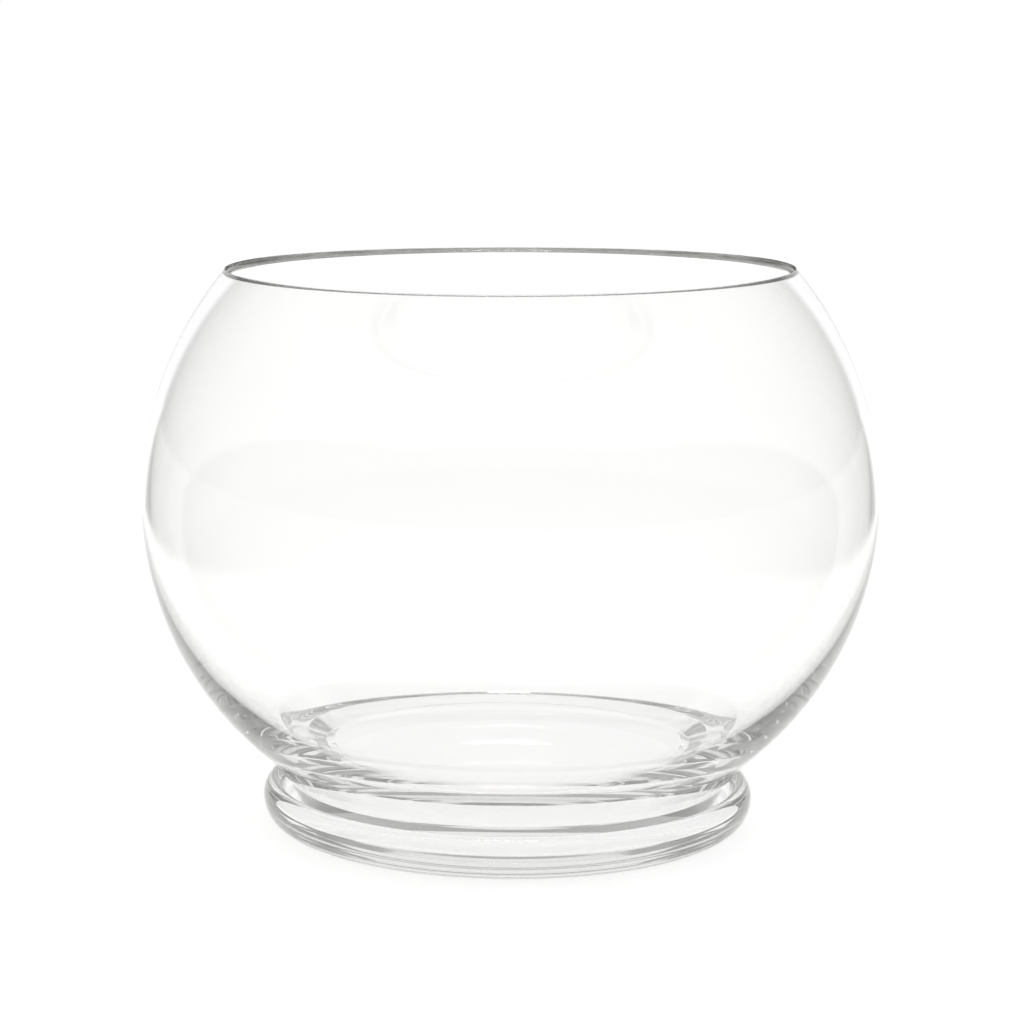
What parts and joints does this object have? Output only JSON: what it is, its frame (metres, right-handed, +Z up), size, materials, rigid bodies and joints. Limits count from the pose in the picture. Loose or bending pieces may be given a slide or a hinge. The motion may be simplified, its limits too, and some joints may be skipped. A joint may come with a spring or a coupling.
{
  "type": "rose bowl vase",
  "caption": "Clear glass rose bowl vase: a wide open globe with a rounded rim, joined through a short neck to a round foot with a rolled rim.",
  "frame": {"origin": "centre of the foot's underside, on the surface that the vase stands on", "axes": "+Z up through the middle of the vase; the mouth opens towards +Z, and the bowl leans by 0.6 degrees towards -X"},
  "size_m": [0.249, 0.249, 0.1915],
  "materials": {
    "bowl_glass": "blown clear soda-lime glass, fire-polished",
    "collar_glass": "hot-worked clear soda-lime glass, fire-polished",
    "foot_glass": "cast clear soda-lime glass, fire-polished"
  },
  "bodies": {
    "root": {"bowl": "bowl_glass", "collar": "collar_glass", "foot": "foot_glass"}
  },
  "joints": []
}
